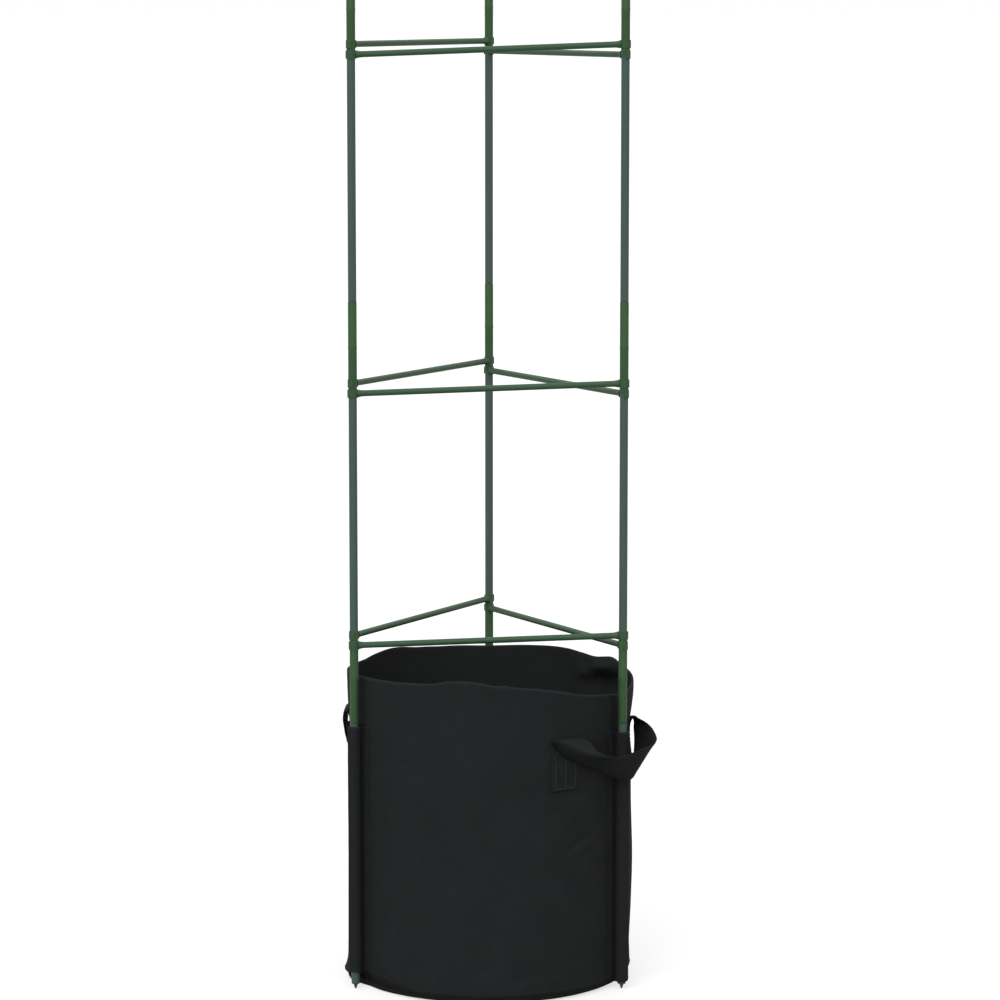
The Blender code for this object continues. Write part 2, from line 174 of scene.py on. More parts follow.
# Moulded plastic: fine grain, cloudy gloss, a few pale scratches.
def mouldedPlastic(name, colour, roughness):
    material, place = newMaterial(name, {"Specular IOR Level": 0.2, "IOR": 1.49})
    grain = place.noise(2600.0, 2.0, 0.6)
    cloud = place.noise(60.0, 3.0)
    scratch = place.stretched((300.0, 300.0, 1500.0)).noise(1.0, 6.0, 0.75, 0.4).step(0.68, 0.73)
    tone = cloud * 0.8 + 0.1 + scratch * 0.3
    return feed(material, grain - scratch * 0.3, 0.00004,
                Base_Color=tone.blend(shade(colour, 0.88), shade(colour, 1.14)),
                Roughness=cloud * 0.16 + (roughness - 0.08) + scratch * 0.12)


# Needled felt: tangled fibres, small punched pits, faint mottling, a paler cut edge. The piece's
# UV map is in metres: U round it, V down from its cut edge. Painted shade darkens it in folds and
# seams.
def feltCloth(name, colour, edge=0.0026):
    material, place = newMaterial(name, {"Specular IOR Level": 0.04})
    mottle = place.noise(34.0, 4.0, 0.6)
    tangle = place.noise(420.0, 5.0, 0.65, 1.2)
    fibre = place.stretched((1.0, 1.0, 0.45)).noise(2300.0, 4.0, 0.7, 2.2)
    pits = place.node("TexVoronoi", {"feature": "F1"},
                      {"Vector": place, "Scale": 620.0, "Randomness": 0.85})
    pit = 1 - pits.step(0.0, 0.42)
    down = place.node("SeparateXYZ", None, {"Vector": place.node("UVMap", {"uv_map": "metres"})}, "Y")
    # painted shade: this attribute darkens the cloth where shade falls in folds, seams and hollows
    paintedLight = place.node("Attribute", {"attribute_name": "paintedLight"}, output="Fac")
    cut = (1 - down.step(edge * 0.55, edge * 1.15)) * (tangle * 0.8 + 0.5)
    lint = fibre.step(0.63, 0.72) * 0.35
    tone = mottle * 0.5 + tangle * 0.35 + fibre * 0.3 - pit * 0.18 + lint + cut * 0.4 - 0.08
    return feed(material, tangle * 0.55 + fibre * 0.35 - pit * 0.55, 0.00055,
                Base_Color=tone.blend(shade(colour, 0.62), shade(colour, 1.42)).paintLight(paintedLight),
                Roughness=mottle * 0.1 + 0.86)


# Woven tape: ribs of weft bound by warp threads, every second one set back half a step. Painted
# light makes it paler above its fold (painted highlight) and darker below it (painted shade).
def wovenTape(name, colour, rib=0.0013, warp=0.0016):
    material, place = newMaterial(name, {"Specular IOR Level": 0.05})
    run = place.node("UVMap", {"uv_map": "metres"})
    along = run.node("SeparateXYZ", None, {"Vector": run}, "Y")
    across = run.node("SeparateXYZ", None, {"Vector": run}, "X")
    lane = (across * (math.pi / warp)).maths("SINE")
    ridge = lane.maths("ABSOLUTE")
    twill = (along * (math.tau / rib) + lane.step(-0.15, 0.15) * math.pi).maths("SINE")
    weave = twill * 0.5 + 0.5
    fuzz = place.noise(1900.0, 4.0, 0.7, 1.0)
    mottle = place.noise(70.0, 3.0)
    # painted highlight and painted shade, read from the piece's attribute
    paintedLight = place.node("Attribute", {"attribute_name": "paintedLight"}, output="Fac")
    tone = weave * 0.45 + ridge * 0.2 + fuzz * 0.25 + mottle * 0.25 - 0.1
    return feed(material, weave * 0.7 + ridge * 0.35 + fuzz * 0.2, 0.00035,
                Base_Color=tone.blend(shade(colour, 0.55), shade(colour, 1.55)).paintLight(paintedLight),
                Roughness=0.78 - weave * 0.14)


# Sewing thread: two plies twisted round each other.
def sewingThread(name, colour):
    material, place = newMaterial(name, {"Specular IOR Level": 0.25})
    ply = place.noise(1600.0, 2.0, 0.5, 1.5)
    return feed(material, ply, 0.0001,
                Base_Color=ply.blend(shade(colour, 0.6), shade(colour, 1.5)), Roughness=ply * 0.2 + 0.6)


tubeGreen = coatedTube("tube green", finishes["tube"])
couplerGreen = mouldedPlastic("coupler green", finishes["coupler"], 0.52)
armGreen = mouldedPlastic("arm green", finishes["arm"], 0.5)
spikeGreen = mouldedPlastic("spike green", shade(finishes["tube"], 0.8), 0.5)
blackFelt = feltCloth("black felt", finishes["felt"])
blackTape = wovenTape("black tape", finishes["webbing"])
blackThread = sewingThread("black thread", finishes["thread"])
tapeThread = sewingThread("tape thread", finishes["tapeThread"])
print("materials made")


# Quads join neighbours on a grid of points; round and along say which ways it closes on itself,
# and capped fills its first and last rows. The enclosed volume's sign turns all faces outwards.
def gridShell(points, uv=None, round=False, along=False, capped=False):
    rows, columns = points.shape[:2]
    if uv is None:
        uv = np.zeros((rows + along, columns + round, 2))
    r, c = np.meshgrid(np.arange(rows - 1 + along), np.arange(columns - 1 + round), indexing="ij")
    here, above = r * columns, (r + 1) % rows * columns
    beside = (c + 1) % columns
    quads = np.stack([here + c, here + beside, above + beside, above + c], -1).reshape(-1, 4)
    quadUv = np.stack([uv[r, c], uv[r, c + 1], uv[r + 1, c + 1], uv[r + 1, c]], -2).reshape(-1, 4, 2)
    flat = points.reshape(-1, 3)
    triangles = [(quads[:, 0], quads[:, k], quads[:, k + 1]) for k in (1, 2)]
    faces, faceUv = quads.tolist(), quadUv.reshape(-1, 2)
    if capped:
        first = np.arange(columns)[::-1]
        last = np.arange(columns) + (rows - 1) * columns
        triangles += [(ring[:1], ring[1:-1], ring[2:]) for ring in (first, last)]
        faces += [first.tolist(), last.tolist()]
        faceUv = np.concatenate([faceUv, uv[0, :columns][::-1], uv[rows - 1, :columns]])
    volume = sum(np.sum(flat[a] * np.cross(flat[b], flat[c])) for a, b, c in triangles)
    if volume < 0:  # every corner in reverse
        faces, faceUv = [face[::-1] for face in faces[::-1]], faceUv[::-1]
    return flat, faces, faceUv


# Copies of one small shell, each at its own origin with its own three axes.
def repeatedShell(shell, origins, axes):
    flat, faces, faceUv = shell
    points = origins[:, None, :] + np.einsum("pk,nkj->npj", flat, axes)
    count = len(origins)
    allFaces = [[corner + i * len(flat) for corner in face] for i in range(count) for face in faces]
    return points.reshape(-1, 3), allFaces, np.tile(faceUv, (count, 1))


# One object of one or more shells. It rides on a body and replaces the CAD nodes that it stands
# for; edges sharper than 38 degrees stay sharp; painted light and shade has a value for each point.
def makePiece(name, shells, material, body=None, stands=(), paintedLight=None):
    points, faces, uvs, start = [], [], [], 0
    for flat, shellFaces, faceUv in shells:
        points.append(flat)
        faces += [[corner + start for corner in face] for face in shellFaces]
        uvs.append(faceUv)
        start += len(flat)
    mesh = bpy.data.meshes.new(name)
    mesh.from_pydata(np.concatenate(points).tolist(), [], faces)
    layer = mesh.uv_layers.new(name="metres")
    layer.data.foreach_set("uv", np.concatenate(uvs).astype(np.float32).ravel())
    mesh.shade_smooth()
    mesh.set_sharp_from_angle(angle=math.radians(38))
    mesh.materials.append(material)
    # painted light and shade for each point, stored as a point attribute
    if paintedLight is not None:
        paintLight = mesh.attributes.new("paintedLight", "FLOAT", "POINT")
        paintLight.data.foreach_set("value", paintedLight.astype(np.float32).ravel())
    mesh.validate()
    piece = bpy.data.objects.new(name, mesh)
    scene.collection.objects.link(piece)
    if body:
        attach(piece, body)
    if stands:
        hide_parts(*stands)
    return piece


# Point at an angle in degrees, radius and height; all three may be arrays.
def polar(angle, radius, height):
    turn = np.radians(angle)
    return np.stack(np.broadcast_arrays(radius * np.cos(turn), radius * np.sin(turn), height), -1)


# Unit vectors: out from the middle, round it, and any made one long.
def outward(angle):
    return polar(angle, 1.0, 0.0)


def sideways(angle):
    return outward(np.asarray(angle) + 90.0)


def unit(vectors):
    return vectors / np.linalg.norm(vectors, axis=-1, keepdims=True)


# Catmull-Rom curve through stations, its ends doubled, at where from 0 to 1 of their run.
def smoothRun(stations, where):
    stations = np.asarray(stations, float)
    last = len(stations) - 1
    at = np.asarray(where) * last
    span = np.minimum(at.astype(int), last - 1)
    t = (at - span).reshape(-1, *([1] * (stations.ndim - 1)))
    a = stations[np.maximum(span - 1, 0)]
    b, c = stations[span], stations[span + 1]
    d = stations[np.minimum(span + 2, last)]
    bend, twist = 2 * a - 5 * b + 4 * c - d, 3 * b - a - 3 * c + d
    return 0.5 * (2 * b + (c - a) * t + bend * t ** 2 + twist * t ** 3)


# Gentle unevenness: a sum of sine waves of set lengths in random directions, from -1 to 1.
def unevenness(x, y, length, seed, waves=6):
    dice = np.random.default_rng(seed)
    total = 0.0
    for _ in range(waves):
        heading, phase = dice.uniform(0, math.tau, 2)
        reach = length * dice.uniform(0.7, 1.5)
        run = x * math.cos(heading) + y * math.sin(heading)
        total = total + np.sin(run * math.tau / reach + phase)
    return total / waves


# A value held between 0 and 1, and a bump that is 1 at 0.
def held(x):
    return np.clip(x, 0, 1)


def hill(x, power=2):
    return np.exp(-x ** power)


# Difference of two angles in degrees, from -180 to 180.
def turnBetween(a, b):
    return (np.asarray(a) - b + 180.0) % 360.0 - 180.0


# A table of millimetres as metres; the columns named hold degrees.
def metres(rows, *degrees):
    scale = np.full(len(rows[0]), 0.001)
    scale[list(degrees)] = 1.0
    return np.array(rows) * scale


# Bag
bag = {
    "radius": 0.1395,
    "felt": 0.0022,
    "rimHeight": 0.301,
    "foot": 0.0063,  # height of the wall's lower end
    "edgeRound": 0.0007,  # how far the cut edge bulges
    "columns": 480, "rows": 96, "insideRows": 86,
    # all tables in degrees and mm; angle, height over the rim height
    "rimWaves": metres([
        (-152, 5.5), (-146, 6.2), (-140, 6.4), (-134, 6.8), (-122, 8), (-112, 9.5), (-101, 13.1),
        (-91, 10.4), (-82, 8), (-62, 1.3), (-50, -5.2), (-42, -7.7), (-34, -10.4), (-26, -12.8),
        (-14, -12.8), (-6, -11.2), (0, -9.5), (8, -6), (17, -3.2), (28, 0.6), (35, -0.8), (42, -2.5),
        (48, -1), (54, 1.1), (62, 2.1), (75, 1.4), (90, 0), (104, 0.6), (120, 1.2), (130, 4), (137, 4),
        (147, 1.4), (160, -0.8), (185, 1.5),
    ], 0),
    # small nicks of the cut edge: angle, spread in degrees, height
    "rimNicks": metres([
        (-107, 2.4, 0.8), (-96, 1.6, 0.6), (-92.5, 1.4, 0.7), (-87.5, 1.6, -0.6), (-83, 1.5, 0.6),
        (-70, 2, 0.5), (38, 4, -0.6), (118, 5, 0.6), (152, 4, -0.8),
    ], 0, 1),
    # unevenness: how far out, share of the height, length of its waves, seed, how many waves
    "uneven": ((0.00035, 0.55, 0.060, 4, 6), (0.00010, 1, 0.014, 9, 9)),
    "sway": (0.0008, 0.2, 0.045, 12, 6),  # the same, growing towards the rim
    "swayReach": 0.045,  # from how far below the rim
    "fuzz": (0.00006, 1, 0.006, 21, 8),
    # soft swells and dents: angle, height, spread in degrees, spread in height, how far out
    "swells": metres([
        (0, 286, 15, 22, 2.6), (-2, 238, 9, 18.5, -3.2), (2, 112, 16, 46, 1.9), (0, 34, 14, 20, -1.2),
        (179, 150, 20, 200, -1.2), (178, 232, 9, 34, -3.6), (178, 253, 9, 8, -3.6), (197, 9.5, 9, 8, 7),
        (36, 303.5, 12, 7.5, 3), (30, 274, 13, 12, 3.2), (-70, 150, 16, 30, 0.6),
        (-120, 220, 24, 60, 0.8), (130, 200, 20, 70, 1.4), (60, 120, 16, 60, -1.2),
    ], 0, 2),
    # creases: angle, height, lean in degrees from level, half length, half width, depth
    "creases": metres([
        (-52, 152, 24, 21, 4, 0.9), (-47, 140, 12, 17, 3, 0.8), (-56, 163, 35, 14, 3, 0.6),
        (-44, 170, -14, 14, 2.8, 0.5), (-74, 26, 8, 30, 3.6, 0.7), (-58, 34, 18, 24, 3.4, 0.6),
        (-118, 70, -30, 24, 4, 0.4), (20, 170, 30, 30, 4, 0.9), (48, 80, -24, 28, 4.2, 0.9),
        (150, 110, 32, 30, 4.2, 0.9), (118, 60, -20, 26, 4, 0.8), (165, 215, 20, 20, 3.2, 0.6),
        (35, 288.4, -12, 29, 6.8, 3.7), (46, 279, 218, 16, 7, 1.2),
    ], 0, 2),
    # seam between wall and base: angle, height; below it the wall is tucked under
    "seam": metres([
        (-180, 6.2), (-164, 6.6), (-156, 12), (-150, 14.8), (-145, 14.2), (-138, 13.8), (-132, 12.2),
        (-127, 10), (-120, 6.4), (180, 6.2),
    ], 0),
    "tuck": 0.5,
    "pinch": (0.0016, 0.0016),  # depth and half width of the groove along the seam
    "drawIn": (0.0011, 0.004),  # how far in the wall goes below the seam, over what height
    # painted shade on the cloth in the folds beside the poles, behind them and under the seam
    "foldShade": -0.4, "poleShade": -0.35, "tuckShade": -0.35,
    # painted shade in the hollow inside: angle, height, spread in degrees, spread in height, shade
    "hollow": (34, 0.2735, 10, 0.0085, -0.32),
    # held down along the poles: share, spread in degrees, up to what height; and at the handles'
    # ends: share, spread in degrees, middle and spread in height
    "calmPoles": (0.9, 5.5, 0.30),
    "calmEnds": (0.45, 7.0, 0.230, 0.034),
}
poleAngles = {"left": 210.0, "right": -30.0, "back": 90.0}
handleEnds = (-59.5, 0.0, 176.0, 116.5)
sleeve = {
    "felt": 0.0018,
    "inside": 0.0047,  # radius of the pocket
    "axisOut": 0.00946,  # pole's axis out from the wall
    "rows": 110,
    # middle line of the cloth at the sewn edge: out from the wall, away from the pole
    "edge": ((0.00025, 0.0106), (0.0005, 0.0092), (0.0009, 0.0074), (0.0014, 0.0058), (0.0024, 0.0043),
             (0.0037, 0.0034)),
    "wrap": 2.45,  # how far the pocket goes round the pole to each side, in radians
    "pressed": 0.78,  # share of the felt's thickness lost at the sewn edges
    "ripples": ((0.00030, 0.5, 0.030, 50), (0.00008, 2, 0.009, 60)),  # out, stretch, length, seed
    "seamAt": 0.0070,  # stitch line to each side of the pole
    "seamOut": 0.0015,
    # painted shade in the folds beside the pole
    "foldShade": -0.6,
    # lower end, upper end
    "left": (0.018, 0.259), "right": (0.008, 0.254), "back": (0.014, 0.256),
}


# Height of the rim: a smooth closed curve through its stations, plus small nicks. The slope at
# a station is that of the line between its two neighbours.
def rimHeight(angle):
    ring = np.array(sorted((a % 360.0, h) for a, h in bag["rimWaves"]))
    full = np.array([360.0, 0.0])
    ring = np.concatenate([ring[-2:] - full, ring, ring[:2] + full])
    slope = (ring[2:, 1] - ring[:-2, 1]) / (ring[2:, 0] - ring[:-2, 0])
    turn = np.asarray(angle, float) % 360.0
    span = np.searchsorted(ring[:, 0], turn, "right") - 1
    width = ring[span + 1, 0] - ring[span, 0]
    t = (turn - ring[span, 0]) / width
    rise = ring[span + 1, 1] - ring[span, 1]
    start, end = slope[span - 1] * width, slope[span] * width
    height = bag["rimHeight"] + ring[span, 1] + start * t * (1 - t) ** 2 - end * t ** 2 * (1 - t)
    height = height + rise * t ** 2 * (3 - 2 * t)
    for centre, spread, lift in bag["rimNicks"]:
        height = height + lift * hill(turnBetween(angle, centre) / spread)
    return height


# Height of the seam between wall and base: straight lines between its stations.
def seamHeight(angle):
    return np.interp(turnBetween(angle, 0.0), *bag["seam"].T)


# How far the wall stands out of its round. Unevenness and creases are held down beside the
# poles and under the sewn ends. At the foot the wall is pinched along the seam and tucked
# under below it.
def wallShift(angle, height):
    run = np.radians(angle) * bag["radius"]
    under = held(1 - (rimHeight(angle) - height) / bag["swayReach"]) ** 2
    shift = 0.0
    for out, share, *waves in bag["uneven"]:
        shift = shift + out * unevenness(run, height * share, *waves)
    out, share, *waves = bag["sway"]
    shift = shift + out * under * unevenness(run, height * share, *waves)
    for a, h, lean, halfLength, halfWidth, depth in bag["creases"]:
        x = np.radians(turnBetween(angle, a)) * bag["radius"]
        y = height - h
        cosLean, sinLean = outward(lean)[:2]
        along = (x * cosLean + y * sinLean) / halfLength
        across = (y * cosLean - x * sinLean + 0.0025 * along ** 2) / halfWidth
        shift = shift - depth * (hill(across) - 0.6 * hill(across + 1.6)) * hill(along)
    calm, spread, top = bag["calmPoles"]
    for poleAngle in poleAngles.values():
        near = hill(turnBetween(angle, poleAngle) / spread, 4)
        shift = shift * (1 - calm * near * (height < top))
    calm, spread, middle, reach = bag["calmEnds"]
    for endAngle in handleEnds:
        near = hill(turnBetween(angle, endAngle) / spread, 4) * hill((height - middle) / reach, 4)
        shift = shift * (1 - calm * near)
    for a, h, aSpread, hSpread, out in bag["swells"]:
        shift = shift + out * hill(turnBetween(angle, a) / aSpread) * hill((height - h) / hSpread)
    above = height - seamHeight(angle)
    groove, halfWidth = bag["pinch"]
    drawIn, reach = bag["drawIn"]
    pinch = groove * hill(above / halfWidth) + drawIn * (1 - held(above / reach + 0.5))
    below = np.clip(-above, 0, None)
    return shift - pinch * held(height / 0.003) - bag["tuck"] * below ** 2 / (below + 0.0015)


def wallRadius(angle, height):
    return bag["radius"] + wallShift(angle, height)


# Wall: up the outside, over the cut edge, down the inside and across the foot. Its rows lie
# closer together towards the rim.
def makeWall():
    felt, edge = bag["felt"], bag["edgeRound"]
    angle = np.arange(bag["columns"])[None, :] * 360.0 / bag["columns"]
    corner = np.linspace(0, math.pi, 9)[1:-1, None]
    outer = 1 - (1 - np.linspace(0, 1, bag["rows"])[:, None]) ** 1.12
    inner = 1 - np.linspace(0, 1, bag["insideRows"])[:, None] ** 1.7
    share = np.concatenate([outer, 1 + 0 * corner, inner])
    depth = np.concatenate([0 * outer, felt * (0.5 - 0.5 * np.cos(corner)), 0 * inner + felt])
    bulge = np.concatenate([0 * outer, edge * np.sin(corner), 0 * inner])
    rim = rimHeight(angle) - edge
    height = bag["foot"] + (rim - bag["foot"]) * share + bulge
    out, stretch, *waves = bag["fuzz"]
    fuzz = out * unevenness(np.radians(angle) * bag["radius"], height * stretch, *waves)
    points = polar(angle, wallRadius(angle, height) - depth + fuzz, height)
    down = np.pad(rim + edge - height, (0, 1), "wrap")
    around = np.append(angle, 360.0) * math.pi / 180 * bag["radius"] + 0 * down
    # painted shade: darker in the folds beside the sewn sleeves, behind the poles above them, under the
    # seam and in the hollow inside
    paintedLight = 0.0
    for side, poleAngle in poleAngles.items():
        beside = np.radians(turnBetween(angle, poleAngle)) * bag["radius"]
        sewn = held((sleeve[side][1] - height) / 0.004)
        paintedLight = paintedLight + bag["foldShade"] * hill((np.abs(beside) - 0.0056) / 0.0048) * sewn
        paintedLight = paintedLight + bag["poleShade"] * hill(beside / 0.0055) * (1 - sewn)
    paintedLight = paintedLight * (depth < felt / 4) + bag["tuckShade"] * held((seamHeight(angle) - height) / 0.0015)
    a, h, aSpread, hSpread, shadeThere = bag["hollow"]
    inHollow = hill(turnBetween(angle, a) / aSpread, 4) * hill((height - h) / hSpread)
    paintedLight = paintedLight + shadeThere * inHollow * (depth > felt / 2)
    shell = gridShell(points, np.stack([around, down], -1), round=True, along=True)
    makePiece("bag_wall_felt", [shell], blackFelt, "bag", ("bag_wall",), paintedLight=paintedLight)


base = {
    "below": 0.0003,  # how far its edge stays below the wall
    "rise": 0.006,  # height of the bend
    "bend": 0.0125,  # how far in from the edge the bend starts
    "tight": (209, 22.0, 0.0085),  # where it starts less far in: angle, spread in degrees, how much
    "pucker": 0.0006,
    "lift": 0.0005,
}


# Base: a dish. Underside out to the bend, up to the wall, and back in over the upper side. The
# bend is tight under the left pole, where a corner of the cloth is pulled out.
def makeBase():
    foot, rise, felt = bag["foot"] - base["below"], base["rise"], bag["felt"]
    angle = np.arange(360.0)[None, :]
    turn = np.radians(angle)
    corner, spread, less = base["tight"]
    inset = base["bend"] - less * hill(turnBetween(angle, corner) / spread, 4)
    flat = wallRadius(angle, bag["foot"]) - inset
    bend = np.linspace(0, math.pi / 2, 12)[:, None]
    under = np.linspace(0.03, 1, 18)[:-1, None] * flat
    over = under[::-1]
    radius = np.concatenate([under, flat + inset * np.sin(bend),
                             flat - felt + inset * np.sin(bend[::-1]), over - felt * (over > 0.02)])
    height = np.concatenate([np.zeros((17, 1)), rise * (1 - np.cos(bend)),
                             felt + (rise - felt) * (1 - np.cos(bend[::-1])), np.full((17, 1), felt)])
    rim = held((radius / bag["radius"] - 0.86) / 0.12)
    pucker = (np.sin(turn * 31 + 1.4 * np.sin(turn * 5)) * 0.5 + 0.5) * rim * held(height / 0.004)
    radius = radius - base["pucker"] * pucker
    points = polar(angle, radius, height)
    lift = base["lift"] * (unevenness(points[..., 0], points[..., 1], 0.05, 31) * 0.5 + 0.5)
    points[..., 2] = np.clip(height + lift * (height > 0.001) * (1 - rim), 0.0, foot)
    shell = gridShell(points, np.full((len(points), 361, 2), 0.5), round=True, capped=True)
    makePiece("bag_base_felt", [shell], blackFelt, "bag", ("bag_base",))


makeWall()
makeBase()
print("bag made")


# Stitches: short threads that dive into the cloth at both ends
stitch = {
    "length": 0.0036, "radius": 0.00034, "sides": 6,
    "pitch": 0.0046, "footPitch": 0.0052, "tapePitch": 0.0040,
    "overSeam": 0.0045,  # height of the foot's stitches over the seam
}


# One stitch along X: rings of a small circle whose middle is raised and whose ends are sunk.
def stitchShell():
    step = np.array([-0.5, -0.36, 0.0, 0.36, 0.5])
    thick = np.array([0.35, 0.95, 1.0, 0.95, 0.35])
    rise = np.array([-0.9, 0.1, 0.5, 0.1, -0.9])
    turn = np.arange(stitch["sides"]) * math.tau / stitch["sides"]
    x = step[:, None] * stitch["length"] + 0 * turn
    y = thick[:, None] * np.cos(turn) * stitch["radius"] * 1.15
    z = (thick[:, None] * np.sin(turn) + rise[:, None]) * stitch["radius"]
    return gridShell(np.stack([x, y, z], -1), round=True, capped=True)


# Stitches set out evenly along a path that lies on cloth, with the cloth's normals.
def stitchRow(path, normals, pitch=stitch["pitch"]):
    steps = np.linalg.norm(np.diff(path, axis=0), axis=1)
    run = np.append(0.0, np.cumsum(steps))
    middle = np.arange(pitch * 0.6, run[-1] - pitch * 0.4, pitch)

    def pick(values, at):
        return np.stack([np.interp(at, run, values[:, k]) for k in range(3)], -1)

    origin = pick(path, middle)
    ahead = unit(pick(path, middle + pitch * 0.2) - pick(path, middle - pitch * 0.2))
    normal = pick(normals, middle)
    normal = unit(normal - ahead * np.sum(normal * ahead, 1, keepdims=True))
    axes = np.stack([ahead, np.cross(normal, ahead), normal], 1)
    return repeatedShell(stitchShell(), origin, axes)


# Ring of stitches round the foot of the bag, just over the seam.
def footStitches():
    angle = np.linspace(0, 360, 721)
    height = seamHeight(angle) + stitch["overSeam"]
    path = polar(angle, wallRadius(angle, height), height)
    return stitchRow(path, outward(angle), stitch["footPitch"])


makePiece("bag_foot_stitches", [footStitches()], blackThread, "bag")

# Pole sleeves
# Section: middle line of the cloth from one sewn edge, in under the pole, round it, and out
# to the other edge.
def sleeveLine():
    middle = sleeve["inside"] + sleeve["felt"] / 2
    arc = np.linspace(-sleeve["wrap"], sleeve["wrap"], 15)
    over = [(sleeve["axisOut"] + middle * math.cos(t), middle * math.sin(t)) for t in arc]
    right = list(sleeve["edge"])
    return smoothRun([(x, -y) for x, y in right] + over + right[::-1], np.linspace(0, 1, 91))


# Sleeve: that line given the thickness of felt, less at its sewn edges, carried up the wall.
# Its painted shade is darkest in the folds beside the pole.
def makeSleeve(side):
    low, high = sleeve[side]
    line = sleeveLine()
    tangent = unit(np.gradient(line, axis=0))
    normal = np.stack([tangent[:, 1], -tangent[:, 0]], -1)
    beside = held((np.abs(line[:, 1:]) - 0.004) / 0.006)
    pressed = held((0.004 - line[:, :1]) / 0.003) * beside
    half = sleeve["felt"] / 2 * (1 - sleeve["pressed"] * pressed)
    tipTurn = np.linspace(0, math.pi, 5)[1:-1, None]
    tip = line[-1] + half[-1] * (np.cos(tipTurn) * normal[-1] + 0.7 * np.sin(tipTurn) * tangent[-1])
    heel = line[0] + half[0] * (-np.cos(tipTurn) * normal[0] - 0.7 * np.sin(tipTurn) * tangent[0])
    section = np.concatenate([line + normal * half, tip, (line - normal * half)[::-1], heel])
    height = np.linspace(low, high, sleeve["rows"])[:, None]
    x, y = section.T[:, None]
    slow, fast = (unevenness(height, y * stretch, length, seed + len(side)) * out
                  for out, stretch, length, seed in sleeve["ripples"])
    ripple = slow * held((x - 0.004) / 0.010) + fast
    x = x + np.where(x > 0.004, np.abs(ripple), ripple * 0.5)
    centre = poleAngles[side]
    ground = wallShift(centre + np.degrees(y / bag["radius"]), height)
    sink = y ** 2 / (2 * bag["radius"])
    flat = held(1 - (x - 0.003) / 0.004)
    radial = bag["radius"] + x - sink * flat + np.clip(ground, -0.002, 0.0015)
    points = radial[..., None] * outward(centre) + y[..., None] * sideways(centre)
    points[..., 2] = height
    around = np.cumsum(np.append(0, np.linalg.norm(np.diff(section, axis=0), axis=1)))
    uv = np.stack([around + 0 * height, high - height + 0 * x], -1)
    uv = np.concatenate([uv, uv[:, :1]], 1)
    # painted shade in the folds beside the pole, near the wall
    nearWall = held(1 - (x - 0.0035) / 0.003)
    paintedLight = sleeve["foldShade"] * hill((np.abs(y) - 0.0040) / 0.0043) * nearWall
    shell = gridShell(points, uv, round=True, capped=True)
    makePiece("sleeve_" + side, [shell], blackFelt, "bag", ("pole_sleeve_" + side,), paintedLight=paintedLight)


# Stitch lines up both sewn edges, and where they come through inside the bag.
def sleeveStitches(side):
    low, high = sleeve[side]
    rows = []
    height = np.linspace(low + 0.004, high - 0.003, 90)
    for way in (-1, 1):
        y = way * sleeve["seamAt"]
        angle = poleAngles[side] + math.degrees(y / bag["radius"]) + 0 * height
        radius = wallRadius(angle, height)
        rows.append(stitchRow(polar(angle, radius + sleeve["seamOut"], height), outward(angle)))
        rows.append(stitchRow(polar(angle, radius - bag["felt"], height), -outward(angle)))
    return rows


for side in poleAngles:
    makeSleeve(side)
    makePiece("sleeve_stitches_" + side, sleeveStitches(side), blackThread, "bag")
print("sleeves made")

# Handles
tape = {
    "thickness": 0.0015, "width": 0.030, "columns": 16, "rowsPerSpan": 8,
    "ridge": 1.5,  # how flat the belly is
    "fold": (4.6, 3.2),  # station of its fold at one edge, how much later at the other
    # painted highlight above the fold, painted shade below it and painted shadow along the lower edge
    "crestHighlight": 0.22, "underShade": -0.34, "edgeShade": -0.3,
    "sewnOut": 0.0009, "sewnFrom": 0.2060,  # how far out it lies where it is sewn, from what height
    "box": (0.2078, 0.2435, 0.0108),  # stitches: lower and upper height, half width
    # where the tape starts to bend: height, distance out; way it leans; share of the way from, to
    "bendFrom": (0.250, 0.0012), "bendLean": (0.2, -0.6), "bendSpan": (0.003, 0.013),
}


# An edge of a handle's tape: three stations up its first sewn end, the loose ones, three down
# its second. The ends have an angle and an upper height, the rest an angle in degrees, distance
# out from the bag's round and height in mm.
def tapeEdge(first, second, middle, loose):
    def sewn(angle, high):
        return [(angle, tape["sewnOut"], height) for height in (tape["sewnFrom"], middle, high)]

    return np.concatenate([sewn(*first), metres(loose, 0), sewn(*second)[::-1]])


